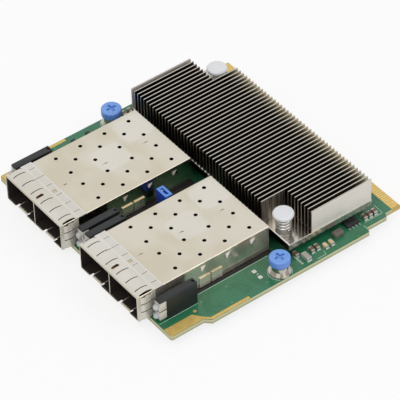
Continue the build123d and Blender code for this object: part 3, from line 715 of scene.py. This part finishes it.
# %% Blue caps
jumper_top_light = jumper_blue.fade(jumper_blue.split(jumper_blue.facing)[2], 0.2, 0.9)
jumper_blue.over(jumper_top_light, (88, 142, 226))
knob_side_shade = knob_blue.fade(knob_blue.split(knob_blue.facing)[2], 0.9, 0.2)
knob_blue.over(0.6 * knob_side_shade, (78, 122, 204))
print("caps shaded", jumper_blue.material.name, knob_blue.material.name)

# %% [markdown]
# ### Lamp resin
# The lamps are cast in milky resin: a clearer domed lens in front, and a warm white block behind
# it. Two lamps are stacked with a dark seam between them, whose height is read from the mesh.
# Lens and block are one casting, so one material serves both and changes where the lens ends.

# %% Lamp resin
lens_reach = 1.3 * MM
seam_half = 0.2 * MM
lamp_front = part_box("led_lamps_1")[0].y + lens_reach
lamp_levels = sorted({round(point.z, 5) for point in points_of("led_lamps_1")
                      if point.y > lamp_front + 0.2 * MM})
seam_level = (lamp_levels[1] + lamp_levels[-2]) / 2
lamp_resin = Finish("lamp_resin", {"Transmission Weight": 0.25, "IOR": 1.5})
milk = lamp_resin.noise(1.6 * MM, 1.0)
y, z = lamp_resin.split(lamp_resin.place)[1:]
on_block = y > lamp_front
block_tone = lamp_resin.ramp(milk, (220, 216, 202), (232, 229, 218))
seamed = lamp_resin.blend(0.8 * (abs(z - seam_level) < seam_half), block_tone, (64, 56, 48))
lamp_resin.set("Base Color", lamp_resin.ramp(milk, (194, 195, 197), (212, 212, 213)))
lamp_resin.over(on_block, seamed)
lamp_resin.set("Roughness", 0.25 + 0.1 * milk)
lamp_resin.set("Coat Weight", 0.3 - 0.2 * on_block)
print("lamp block starts at", lamp_front, "levels", lamp_levels)

# %% [markdown]
# ## Finishes onto the CAD nodes
# Nodes with the same first words are of the same stuff, so the start of the name picks the
# finish, which is shorter than a list of every node. The longer start comes first in the table.
# The CAD object keeps its mesh and only its material slot changes.

# %% Dress the nodes
finish_by_name = {
    "cage_collar": collar_steel,
    "cage": cage_steel,
    "capacitor_bodies": brown_ceramic,
    "capacitor_ends": tin,
    "captive_screw": nickel,
    "circuit_board": board,
    "controller_lid": nickel,
    "controller_substrate": substrate_green,
    "edge_contacts": gold,
    "ground_pads": pad_gold,
    "heatsink": aluminium,
    "jumper_cap": jumper_blue,
    "jumper_header": connector_black,
    "jumper_pins": tin,
    "led_holder": holder_plastic,
    "led_lamps": lamp_resin,
    "port_connector": connector_black,
    "port_contacts": gold,
    "power_inductor": ferrite,
    "push_pin_spring": spring_steel,
    "push_pin": nylon,
    "regulator_chip": chip_epoxy,
    "regulator_leads": tin,
    "screw_ferrule": ferrule_nickel,
    "screw_spring": spring_steel,
    "small_chips": chip_epoxy,
    "tan_capacitor_bodies": tan_ceramic,
    "tan_capacitor_ends": tin,
    "thermal_pad": pad_compound,
    "thumbscrew_knob": knob_blue,
}


def finish_of(node):
    return next(finish for start, finish in finish_by_name.items() if node.startswith(start))


for name, node in frame["nodes"].items():
    node.material_slots[0].material = finish_of(name).material
print("dressed", len(frame["nodes"]), "nodes")

# %% [markdown]
# ## Making pieces
# Blender's add-object operators depend on what is selected and shown. A bmesh doesn't, so new
# geometry is drawn in one and handed to a single function, which turns it into an object,
# smooths what is round, and ties it to a body so that it moves with the card.

# %% Piece helper
def add_piece(name, shape, finish, body, smooth=40):
    mesh = bpy.data.meshes.new(name)
    shape.to_mesh(mesh)
    shape.free()
    if "custom_normal" in mesh.attributes:
        mesh.attributes.remove(mesh.attributes["custom_normal"])
    mesh.materials.clear()
    mesh.materials.append(finish.material)
    mesh.polygons.foreach_set("material_index", [0] * len(mesh.polygons))
    mesh.polygons.foreach_set("use_smooth", [True] * len(mesh.polygons))
    mesh.set_sharp_from_angle(angle=radians(smooth))
    piece = bpy.data.objects.new(name, mesh)
    scene.collection.objects.link(piece)
    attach(piece, body)
    return piece


def body_under(node):
    return frame["nodes"][node].parent.name.split(":")[-1]


print("knob rides on", body_under("thumbscrew_knob_left"))

# %% Welded copies
def welded(node):
    """A CAD mesh with its loose triangles joined at their corners."""
    shape = bmesh.new()
    shape.from_mesh(frame["nodes"][node].data)
    bmesh.ops.remove_doubles(shape, verts=shape.verts, dist=0.001 * MM)
    return shape


print("welded copies ready")

# %% Solid finder
def solids_of(node):
    """The box of each separate solid in a CAD node."""
    shape = welded(node)
    waiting = set(shape.verts)
    boxes = []
    while waiting:
        edge_of_search = [waiting.pop()]
        found = list(edge_of_search)
        while edge_of_search:
            vertex = edge_of_search.pop()
            fresh = {edge.other_vert(vertex) for edge in vertex.link_edges} & waiting
            waiting -= fresh
            found.extend(fresh)
            edge_of_search.extend(fresh)
        corners = list(zip(*(vertex.co for vertex in found)))
        boxes.append((Vector(map(min, corners)), Vector(map(max, corners))))
    shape.free()
    return sorted(boxes, key=lambda box: tuple(box[0]))


print("chip capacitors", len(solids_of("capacitor_bodies")))

# %% [markdown]
# ### The larger capacitor
# The small chip capacitors are brown, and the largest of the group is a pale grey. They are one
# node with one material. A copy in another material would do, but the box of the largest solid
# can mark where the ceramic changes, and the node stays whole.

# %% Grey capacitor
big_low, big_high = max(solids_of("capacitor_bodies"), key=lambda box: (box[1] - box[0]).length)
big_middle = (big_low + big_high) / 2
big_half = (big_high - big_low) / 2 + Vector((1, 1, 1)) * 0.05 * MM
x, y, _ = brown_ceramic.split(brown_ceramic.place)
in_big = (abs(x - big_middle.x) < big_half.x) * (abs(y - big_middle.y) < big_half.y)
brown_ceramic.over(in_big, (168, 164, 156))
print("grey capacitor at", big_middle, "size", big_high - big_low)

# %% [markdown]
# ## Softened edges
# Moulded plastic, fired ceramic and turned metal never end in a knife edge. A copy of the CAD
# mesh is welded, its flat triangles are joined, and its sharp edges are rounded; the copy then
# stands for the node. A bevel modifier on the node would do the same but trips over triangles.

# %% Soften helper
def soften(node, radius, segments=2, above=-1.0):
    shape = welded(node)
    bmesh.ops.dissolve_limit(shape, angle_limit=radians(1), verts=shape.verts, edges=shape.edges)
    sharp = [edge for edge in shape.edges
             if len(edge.link_faces) == 2 and edge.calc_face_angle() > radians(35)
             and min(vertex.co.z for vertex in edge.verts) > above]
    bmesh.ops.bevel(shape, geom=sharp, offset=radius, offset_type="OFFSET", segments=segments,
                    profile=0.5, affect="EDGES", clamp_overlap=True)
    piece = add_piece(node + "_soft", shape, finish_of(node), body_under(node))
    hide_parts(node)
    return piece.name


print("soften helper ready")

# %% Softened pieces
push_head = 1.3 * MM
softened = [soften(f"thumbscrew_knob_{side}", 0.12 * MM) for side in ("left", "right")]
for end in ("front", "rear"):
    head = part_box(f"push_pin_{end}")[1].z - push_head
    softened.append(soften(f"push_pin_{end}", 0.3 * MM, 4, head))
softened += [soften(f"led_holder_{number}", 0.12 * MM) for number in range(1, 5)]
softened += [soften(f"cage_collar_{side}", 0.03 * MM, 1) for side in ("left", "right")]
softened.append(soften("jumper_cap", 0.22 * MM, 3))
softened += [soften(node, 0.08 * MM) for node in ("capacitor_ends", "tan_capacitor_ends")]
softened.append(soften("power_inductor", 0.2 * MM))
softened += [soften(node, 0.1 * MM) for node in ("regulator_chip", "small_chips")]
print("softened", softened)

# %% [markdown]
# ## Round-wire springs
# The CAD springs have a plain square wire. Here each coil is a round wire swept along a helix:
# a ring of points is carried round the axis, tilted with the climb. A curve with a bevel would
# look the same.

# %% Tube helper
def full_turn(count):
    return [tau * spot / count for spot in range(count)]


def tube(shape, rows, closed=True):
    """Faces from each ring of points to the next, and over the two ends."""
    faces = []
    for before, after in zip(rows, rows[1:]):
        for spot in range(len(before)):
            faces.append(shape.faces.new((before[spot - 1], before[spot], after[spot], after[spot - 1])))
    if closed:
        faces += [shape.faces.new(reversed(rows[0])), shape.faces.new(rows[-1])]
    return faces


print("a turn in four", full_turn(4))

# %% Coil helper
def coil(shape, axis, base, top, radius, wire, turns, ring=10, steps=28):
    wire_radius = wire / 2
    climb = (top - base - wire) / turns
    lean = atan2(climb, tau * radius)
    rows = []
    for step in range(turns * steps + 1):
        angle = tau * step / steps
        outward = Vector((cos(angle), sin(angle), 0))
        along = Vector((-sin(angle), cos(angle), 0))
        upward = Vector((0, 0, 1)) * cos(lean) - along * sin(lean)
        height = base + wire_radius + climb * step / steps
        middle = Vector((axis[0], axis[1], height)) + outward * radius
        spokes = [outward * cos(turn) + upward * sin(turn) for turn in full_turn(ring)]
        rows.append([shape.verts.new(middle + wire_radius * spoke) for spoke in spokes])
    tube(shape, rows)
    for vertex in shape.verts:
        vertex.co.z = min(max(vertex.co.z, base), top)


print("coil helper ready")

# %% Push-pin springs
def node_axis(node):
    low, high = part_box(node)
    return (low.x + high.x) / 2, (low.y + high.y) / 2


coil_turns = 4
push_wire = 0.5 * MM
for end in ("front", "rear"):
    low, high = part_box(f"push_pin_spring_{end}")
    axis = node_axis(f"push_pin_{end}")
    shape = bmesh.new()
    coil(shape, axis, low.z, high.z, (high.x - low.x - push_wire) / 2, push_wire, coil_turns)
    push_spring = add_piece(f"push_spring_wire_{end}", shape, spring_steel, "card")
    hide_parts(f"push_pin_spring_{end}")
    print(push_spring.name, "height", high.z - low.z)

# %% Thumbscrew springs
lift_wire = 0.36 * MM
lift_joints = {joint["name"]: joint for joint in frame["joints"]}
for side in ("left", "right"):
    low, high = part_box(f"screw_spring_{side}")
    axis = node_axis(f"thumbscrew_knob_{side}")
    shape = bmesh.new()
    coil(shape, axis, low.z, high.z, (high.x - low.x - lift_wire) / 2, lift_wire, coil_turns)
    lift_spring = add_piece(f"screw_spring_wire_{side}", shape, spring_steel, "card")
    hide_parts(f"screw_spring_{side}")
    travel = -lift_joints[f"{side}_screw_lift"]["range_m"][0]
    kept = (high.z - low.z - travel) / (high.z - low.z)
    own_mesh(lift_spring)
    print(lift_spring.name, "keeps", round(kept, 3))

# %% [markdown]
# ## Screw threads
# The CAD screw ends in a plain pin of the thread's outer radius. Its real surface is a helical
# groove. A swept profile would cross itself at the ends, so on a grid wrapped round the axis the
# radius dips with the distance from the crest of the helix, and the groove runs out at both
# ends. The rest of the screw stays as it is in the CAD mesh.

# %% Thread helper
def threaded(shape, axis, low, high, crest, root, pitch, columns=20, rows_per_turn=8):
    lead_in, lead_out = 0.6 * pitch, 0.4 * pitch
    blunt = 1.25
    steps = round((high - low) / pitch * rows_per_turn)
    rows = []
    for step in range(steps + 1):
        z = low + (high - low) * step / steps
        run_out = min(1.0, (z - low) / lead_in, (high - z) / lead_out)
        row = []
        for column, turn in enumerate(full_turn(columns)):
            crest_share = abs(2 * ((z / pitch - column / columns) % 1.0) - 1)
            radius = root + (crest - root) * min(1.0, blunt * crest_share) * run_out
            x, y = axis[0] + radius * cos(turn), axis[1] + radius * sin(turn)
            row.append(shape.verts.new((x, y, z)))
        rows.append(row)
    tube(shape, rows)


print("thread helper ready")

# %% Screw threads
thread_pitch = 0.5 * MM
thread_depth = 0.3 * MM
for side in ("left", "right"):
    node = f"captive_screw_{side}"
    axis = node_axis(node)
    shape = welded(node)
    low_z = min(vertex.co.z for vertex in shape.verts)
    pin = [vertex.co for vertex in shape.verts if vertex.co.z < low_z + 3 * MM]
    crest = max(hypot(point.x - axis[0], point.y - axis[1]) for point in pin)
    high_z = max(point.z for point in pin)
    on_pin = [face for face in shape.faces
              if all(vertex.co.z < high_z + 0.01 * MM for vertex in face.verts)]
    bmesh.ops.delete(shape, geom=on_pin, context="FACES")
    threaded(shape, axis, low_z, high_z, crest, crest - thread_depth, thread_pitch)
    bmesh.ops.recalc_face_normals(shape, faces=shape.faces)
    screw = add_piece(f"{node}_thread", shape, nickel, body_under(node), 25)
    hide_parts(node)
    print(screw.name, "thread length", high_z - low_z, "radius", crest)

# %% [markdown]
# ## Indicator lamps
# Each holder carries two small resin lamps with a domed lens towards the front. The dome is a
# profile turned about the lens axis; a squashed sphere would lack the straight part at its
# root. The body behind it is a block with soft edges.

# %% Lamp blocks and domes
def lamp_block(shape, low, high):
    middle, size = (low + high) / 2, high - low
    placed = Matrix.Translation(middle) @ Matrix.Diagonal(size.to_4d())
    block = bmesh.ops.create_cube(shape, size=1.0, matrix=placed)
    edges = dict.fromkeys(edge for vertex in block["verts"] for edge in vertex.link_edges)
    bmesh.ops.bevel(shape, geom=list(edges), offset=0.2 * MM, segments=2, profile=0.5, affect="EDGES")


def lamp_dome(shape, x, y, z, radius=1.05 * MM, straight=0.35 * MM, sides=24):
    profile = [(radius, 0.0)]
    for arc in (radians(angle) for angle in range(0, 90, 15)):
        profile.append((radius * cos(arc), straight + (lens_reach - straight) * sin(arc)))
    rings = [[shape.verts.new((x + wide * cos(turn), y - out, z + wide * sin(turn)))
              for turn in full_turn(sides)] for wide, out in profile]
    tube(shape, rings, closed=False)
    tip = shape.verts.new((x, y - lens_reach, z))
    for spot in range(sides):
        shape.faces.new((rings[-1][spot - 1], rings[-1][spot], tip))


print("lens reach", lens_reach)

# %% Lamp pairs
for number in range(1, 5):
    shape = bmesh.new()
    for low, high in solids_of(f"led_lamps_{number}"):
        front = low.y + lens_reach
        lamp_block(shape, Vector((low.x, front, low.z)), high)
        lamp_dome(shape, (low.x + high.x) / 2, front, (low.z + high.z) / 2)
    lamps = add_piece(f"lamp_pair_{number}", shape, lamp_resin, "card", 50)
    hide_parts(f"led_lamps_{number}")
    print(lamps.name, "faces", len(lamps.data.polygons))

# %% [markdown]
# ## Solder
# Every chip part sits on two tinned pads, and the solder climbs its ends in a hollow curve. A
# plain wedge would glint as one flat face; a small profile with a few steps, pushed along the
# end's width, gives the curve.

# %% Fillet helper
def fillet(shape, low, high, direction, run=0.26 * MM, steps=5):
    climb = 0.6 * (high.z - low.z)
    start = high.x if direction > 0 else low.x
    profile = [(start + direction * run * (1 - sin(turn)), low.z + climb * (1 - cos(turn)))
               for turn in (pi / 2 * step / steps for step in range(steps + 1))]
    profile.append((start, low.z))
    tube(shape, [[shape.verts.new((x, y, z)) for x, z in profile] for y in (low.y, high.y)])


print("fillet helper ready")

# %% Solder fillets
shape = bmesh.new()
ends = solids_of("capacitor_ends") + solids_of("tan_capacitor_ends")
body_middles = [(low + high) / 2
                for low, high in solids_of("capacitor_bodies") + solids_of("tan_capacitor_bodies")]
for low, high in ends:
    middle = (low + high) / 2
    off_body = middle - min(body_middles, key=lambda point: (point - middle).length)
    if abs(off_body.x) > abs(off_body.y):
        fillet(shape, low, high, 1 if off_body.x > 0 else -1)
bmesh.ops.recalc_face_normals(shape, faces=shape.faces)
add_piece("solder_fillets", shape, tin, "card", 60)
print("fillets for", len(ends), "ends")

# %% [markdown]
# ## Flat films
# Ink outlines, bare pads and the black film under the cages are flat shapes a few hundredths
# of a millimetre thick. An outline pushed up by its thickness makes each of them: a rectangle
# with round corners, or a stroke with round ends along a line of points.

# %% Flat shapes
def flat(shape, outline, base, height):
    rows = [[shape.verts.new((x, y, z)) for x, y in outline] for z in (base, base + height)]
    bmesh.ops.recalc_face_normals(shape, faces=tube(shape, rows))


def rounded(low, high, radius, steps=4):
    outline = []
    middles = ((high.x - radius, high.y - radius), (low.x + radius, high.y - radius),
               (low.x + radius, low.y + radius), (high.x - radius, low.y + radius))
    for quarter, (x, y) in enumerate(middles):
        for turn in (pi / 2 * (quarter + step / steps) for step in range(steps + 1)):
            outline.append((x + radius * cos(turn), y + radius * sin(turn)))
    return outline


print("flat shapes ready")

# %% Strokes
def stroke(points, width, steps=6):
    legs = [(after - before).normalized() for before, after in zip(points, points[1:])]
    near, far = [], []
    for point, first, last in zip(points, legs[:1] + legs, legs + legs[-1:]):
        along = (first + last).normalized()
        aside = Vector((-along.y, along.x)) * (width / 2 / along.dot(first))
        near.append(point + aside)
        far.append(point - aside)
    ends = []
    for middle, start in ((points[-1], near[-1]), (points[0], far[0])):
        ends.append([middle + Matrix.Rotation(-pi * step / steps, 2) @ (start - middle)
                     for step in range(1, steps)])
    return near + ends[0] + far[::-1] + ends[1]


def on_board(x, y):
    """A place in millimetres across the card and behind the ports' mouth."""
    return Vector((x * MM, mouth + y * MM))


print("mouth edge at", on_board(0, 0))

# %% [markdown]
# ### Black film
# A thin black film lies under each cage and reaches a little past its walls, so its rim shows
# as a dark band at the foot of each wall. It is laid as a whole sheet.

# %% Film under the cages
shape = bmesh.new()
film_rim = 1.5 * MM
film_height = 0.06 * MM
for sign in (-1, 1):
    centre = cage_middle + sign * cage_offset
    film_low = Vector((centre - cage_half - film_rim, on_board(0, 19.0).y))
    film_high = Vector((centre + cage_half + film_rim, cage_rear + 0.4 * MM))
    flat(shape, rounded(film_low, film_high, 0.7 * MM), board_top, film_height)
add_piece("cage_film", shape, film_black, "card")
print("film rim", film_rim)

# %% [markdown]
# ### Ink outlines
# The assembler's white ink marks where cages, holders and screws go: plain strokes, two brackets
# and a ring round each screw. A raised film gives them the crisp edge that a noisy mask would blur.

# %% Ink
ink_width, ink_height = 0.18 * MM, 0.03 * MM
ring_radius = 3.75 * MM
ink_lines = [
    [(38.0, 4.4), (38.0, 18.4)],
    [(35.1, 20.6), (35.1, 46.6)],
    [(45.5, 57.6), (45.5, 60.9), (44.0, 61.2)],
    [(42.2, 78.7), (42.2, 85.5), (37.9, 85.7)],
    [(43.0, 77.5), (44.8, 77.5)],
]
strokes = [[on_board(*point) for point in line] for line in ink_lines]
for side in ("left", "right"):
    axis = Vector(node_axis(f"thumbscrew_knob_{side}"))
    inward = pi if axis.x > 0 else 0.0
    turns = [inward + radians(angle) for angle in range(-144, 145, 6)]
    strokes.append([axis + ring_radius * Vector((cos(turn), sin(turn))) for turn in turns])
shape = bmesh.new()
for points in strokes:
    flat(shape, stroke(points, ink_width), board_top, ink_height)
add_piece("board_ink", shape, silk_white, "card")
print("ink strokes", len(strokes))

# %% [markdown]
# ### Bare pads
# Pads without a part stay as flat tinned squares, and a test point as a small round spot. They
# stand a little above the lacquer, so they are shapes of their own rather than tones on it.

# %% Pads and test points
def pad(shape, centre, size, radius):
    flat(shape, rounded(centre - size / 2, centre + size / 2, radius), board_top, 0.05 * MM)


square_size = Vector((1.3, 1.3)) * MM
small_size = Vector((0.32, 0.62)) * MM
squares = [on_board(37.9, 39.5), on_board(40.9, 39.5)]
small_pads = [on_board(40.6 + 0.62 * step, 52.8) for step in range(7)] + [on_board(39.45, 39.6)]
shape = bmesh.new()
for centre in squares:
    pad(shape, centre, square_size, 0.2 * MM)
for centre in small_pads:
    pad(shape, centre, small_size, 0.12 * MM)
add_piece("bare_pads", shape, pad_tin, "card")
shape = bmesh.new()
pad(shape, on_board(40.05, 15.7), square_size * 0.84, 0.5 * MM)
add_piece("test_point", shape, pad_gold, "card")
print("pads", len(squares) + len(small_pads))

# %% [markdown]
# ### Lanced marks
# Along the middle of each cage top the divider is held by small lanced tongues. Each shows as
# a short bent line, pale where its lip stands up and dark where it dips. Cutting the sheet for
# them would gain nothing at their size, so two thin strokes lie on it; the dark one is painted
# shade in the dip.

# %% Lanced marks
lance_points = ((-0.42, -0.95), (-0.10, -0.62), (0.0, -0.1), (0.02, 0.45), (0.2, 0.95))
lance = [Vector(point) * MM for point in lance_points]
lance_rows = (11.6, 26.8, 42.0)
lips, slits = bmesh.new(), bmesh.new()
for sign in (-1, 1):
    for along in lance_rows:
        centre = Vector((cage_middle + sign * cage_offset, mouth + along * MM))
        flat(lips, stroke([centre + point for point in lance[:3]], 0.16 * MM), cage_top, 0.02 * MM)
        flat(slits, stroke([centre + point for point in lance[2:]], 0.2 * MM), cage_top, 0.015 * MM)
add_piece("lance_lips", lips, collar_steel, "card")
# the dark strokes are painted shade in each dip
add_piece("lance_slits", slits, slit_brown, "card")
print("lanced marks", 2 * len(lance_rows))

# %% [markdown]
# ## Underside
# Legs and pins pass through the board and are soldered below it. Each joint is a small cone of
# solder round the tip. Their places could be listed, but the clumps of vertices that stick out
# below the board give them for any build of the card.

# %% Tip finder
def tips_below(node, spread=1.6 * MM):
    clumps = []
    for point in points_of(node):
        if point.z > board_bottom - 0.05 * MM:
            continue
        home = next((clump for clump in clumps if (clump[0].xy - point.xy).length < spread), None)
        if home:
            home.append(point)
        else:
            clumps.append([point])
    return clumps


soldered = [name for name in frame["nodes"] if name.startswith(("cage_", "jumper_pins"))]
tips = [clump for name in soldered for clump in tips_below(name)]
print("tips below the board", len(tips))

# %% Solder below the board
cone = ((0.55, 0.0), (0.3, 0.12), (0.16, 0.3), (0.08, 0.5))
cone_sides = 14
shape = bmesh.new()
for clump in tips:
    corners = list(zip(*clump))
    low, high = Vector(map(min, corners)), Vector(map(max, corners))
    middle, half = (low + high) / 2, (high - low) / 2
    rows = []
    for grow, drop in cone:
        z = board_bottom - min(drop * MM, 0.8 * (board_bottom - low.z))
        wide, deep = half.x + grow * MM, half.y + grow * MM
        rows.append([shape.verts.new((middle.x + wide * cos(turn), middle.y + deep * sin(turn), z))
                     for turn in full_turn(cone_sides)])
    tube(shape, rows)
bmesh.ops.recalc_face_normals(shape, faces=shape.faces)
add_piece("underside_solder", shape, tin, "card", 60)
print("solder joints below", len(tips))
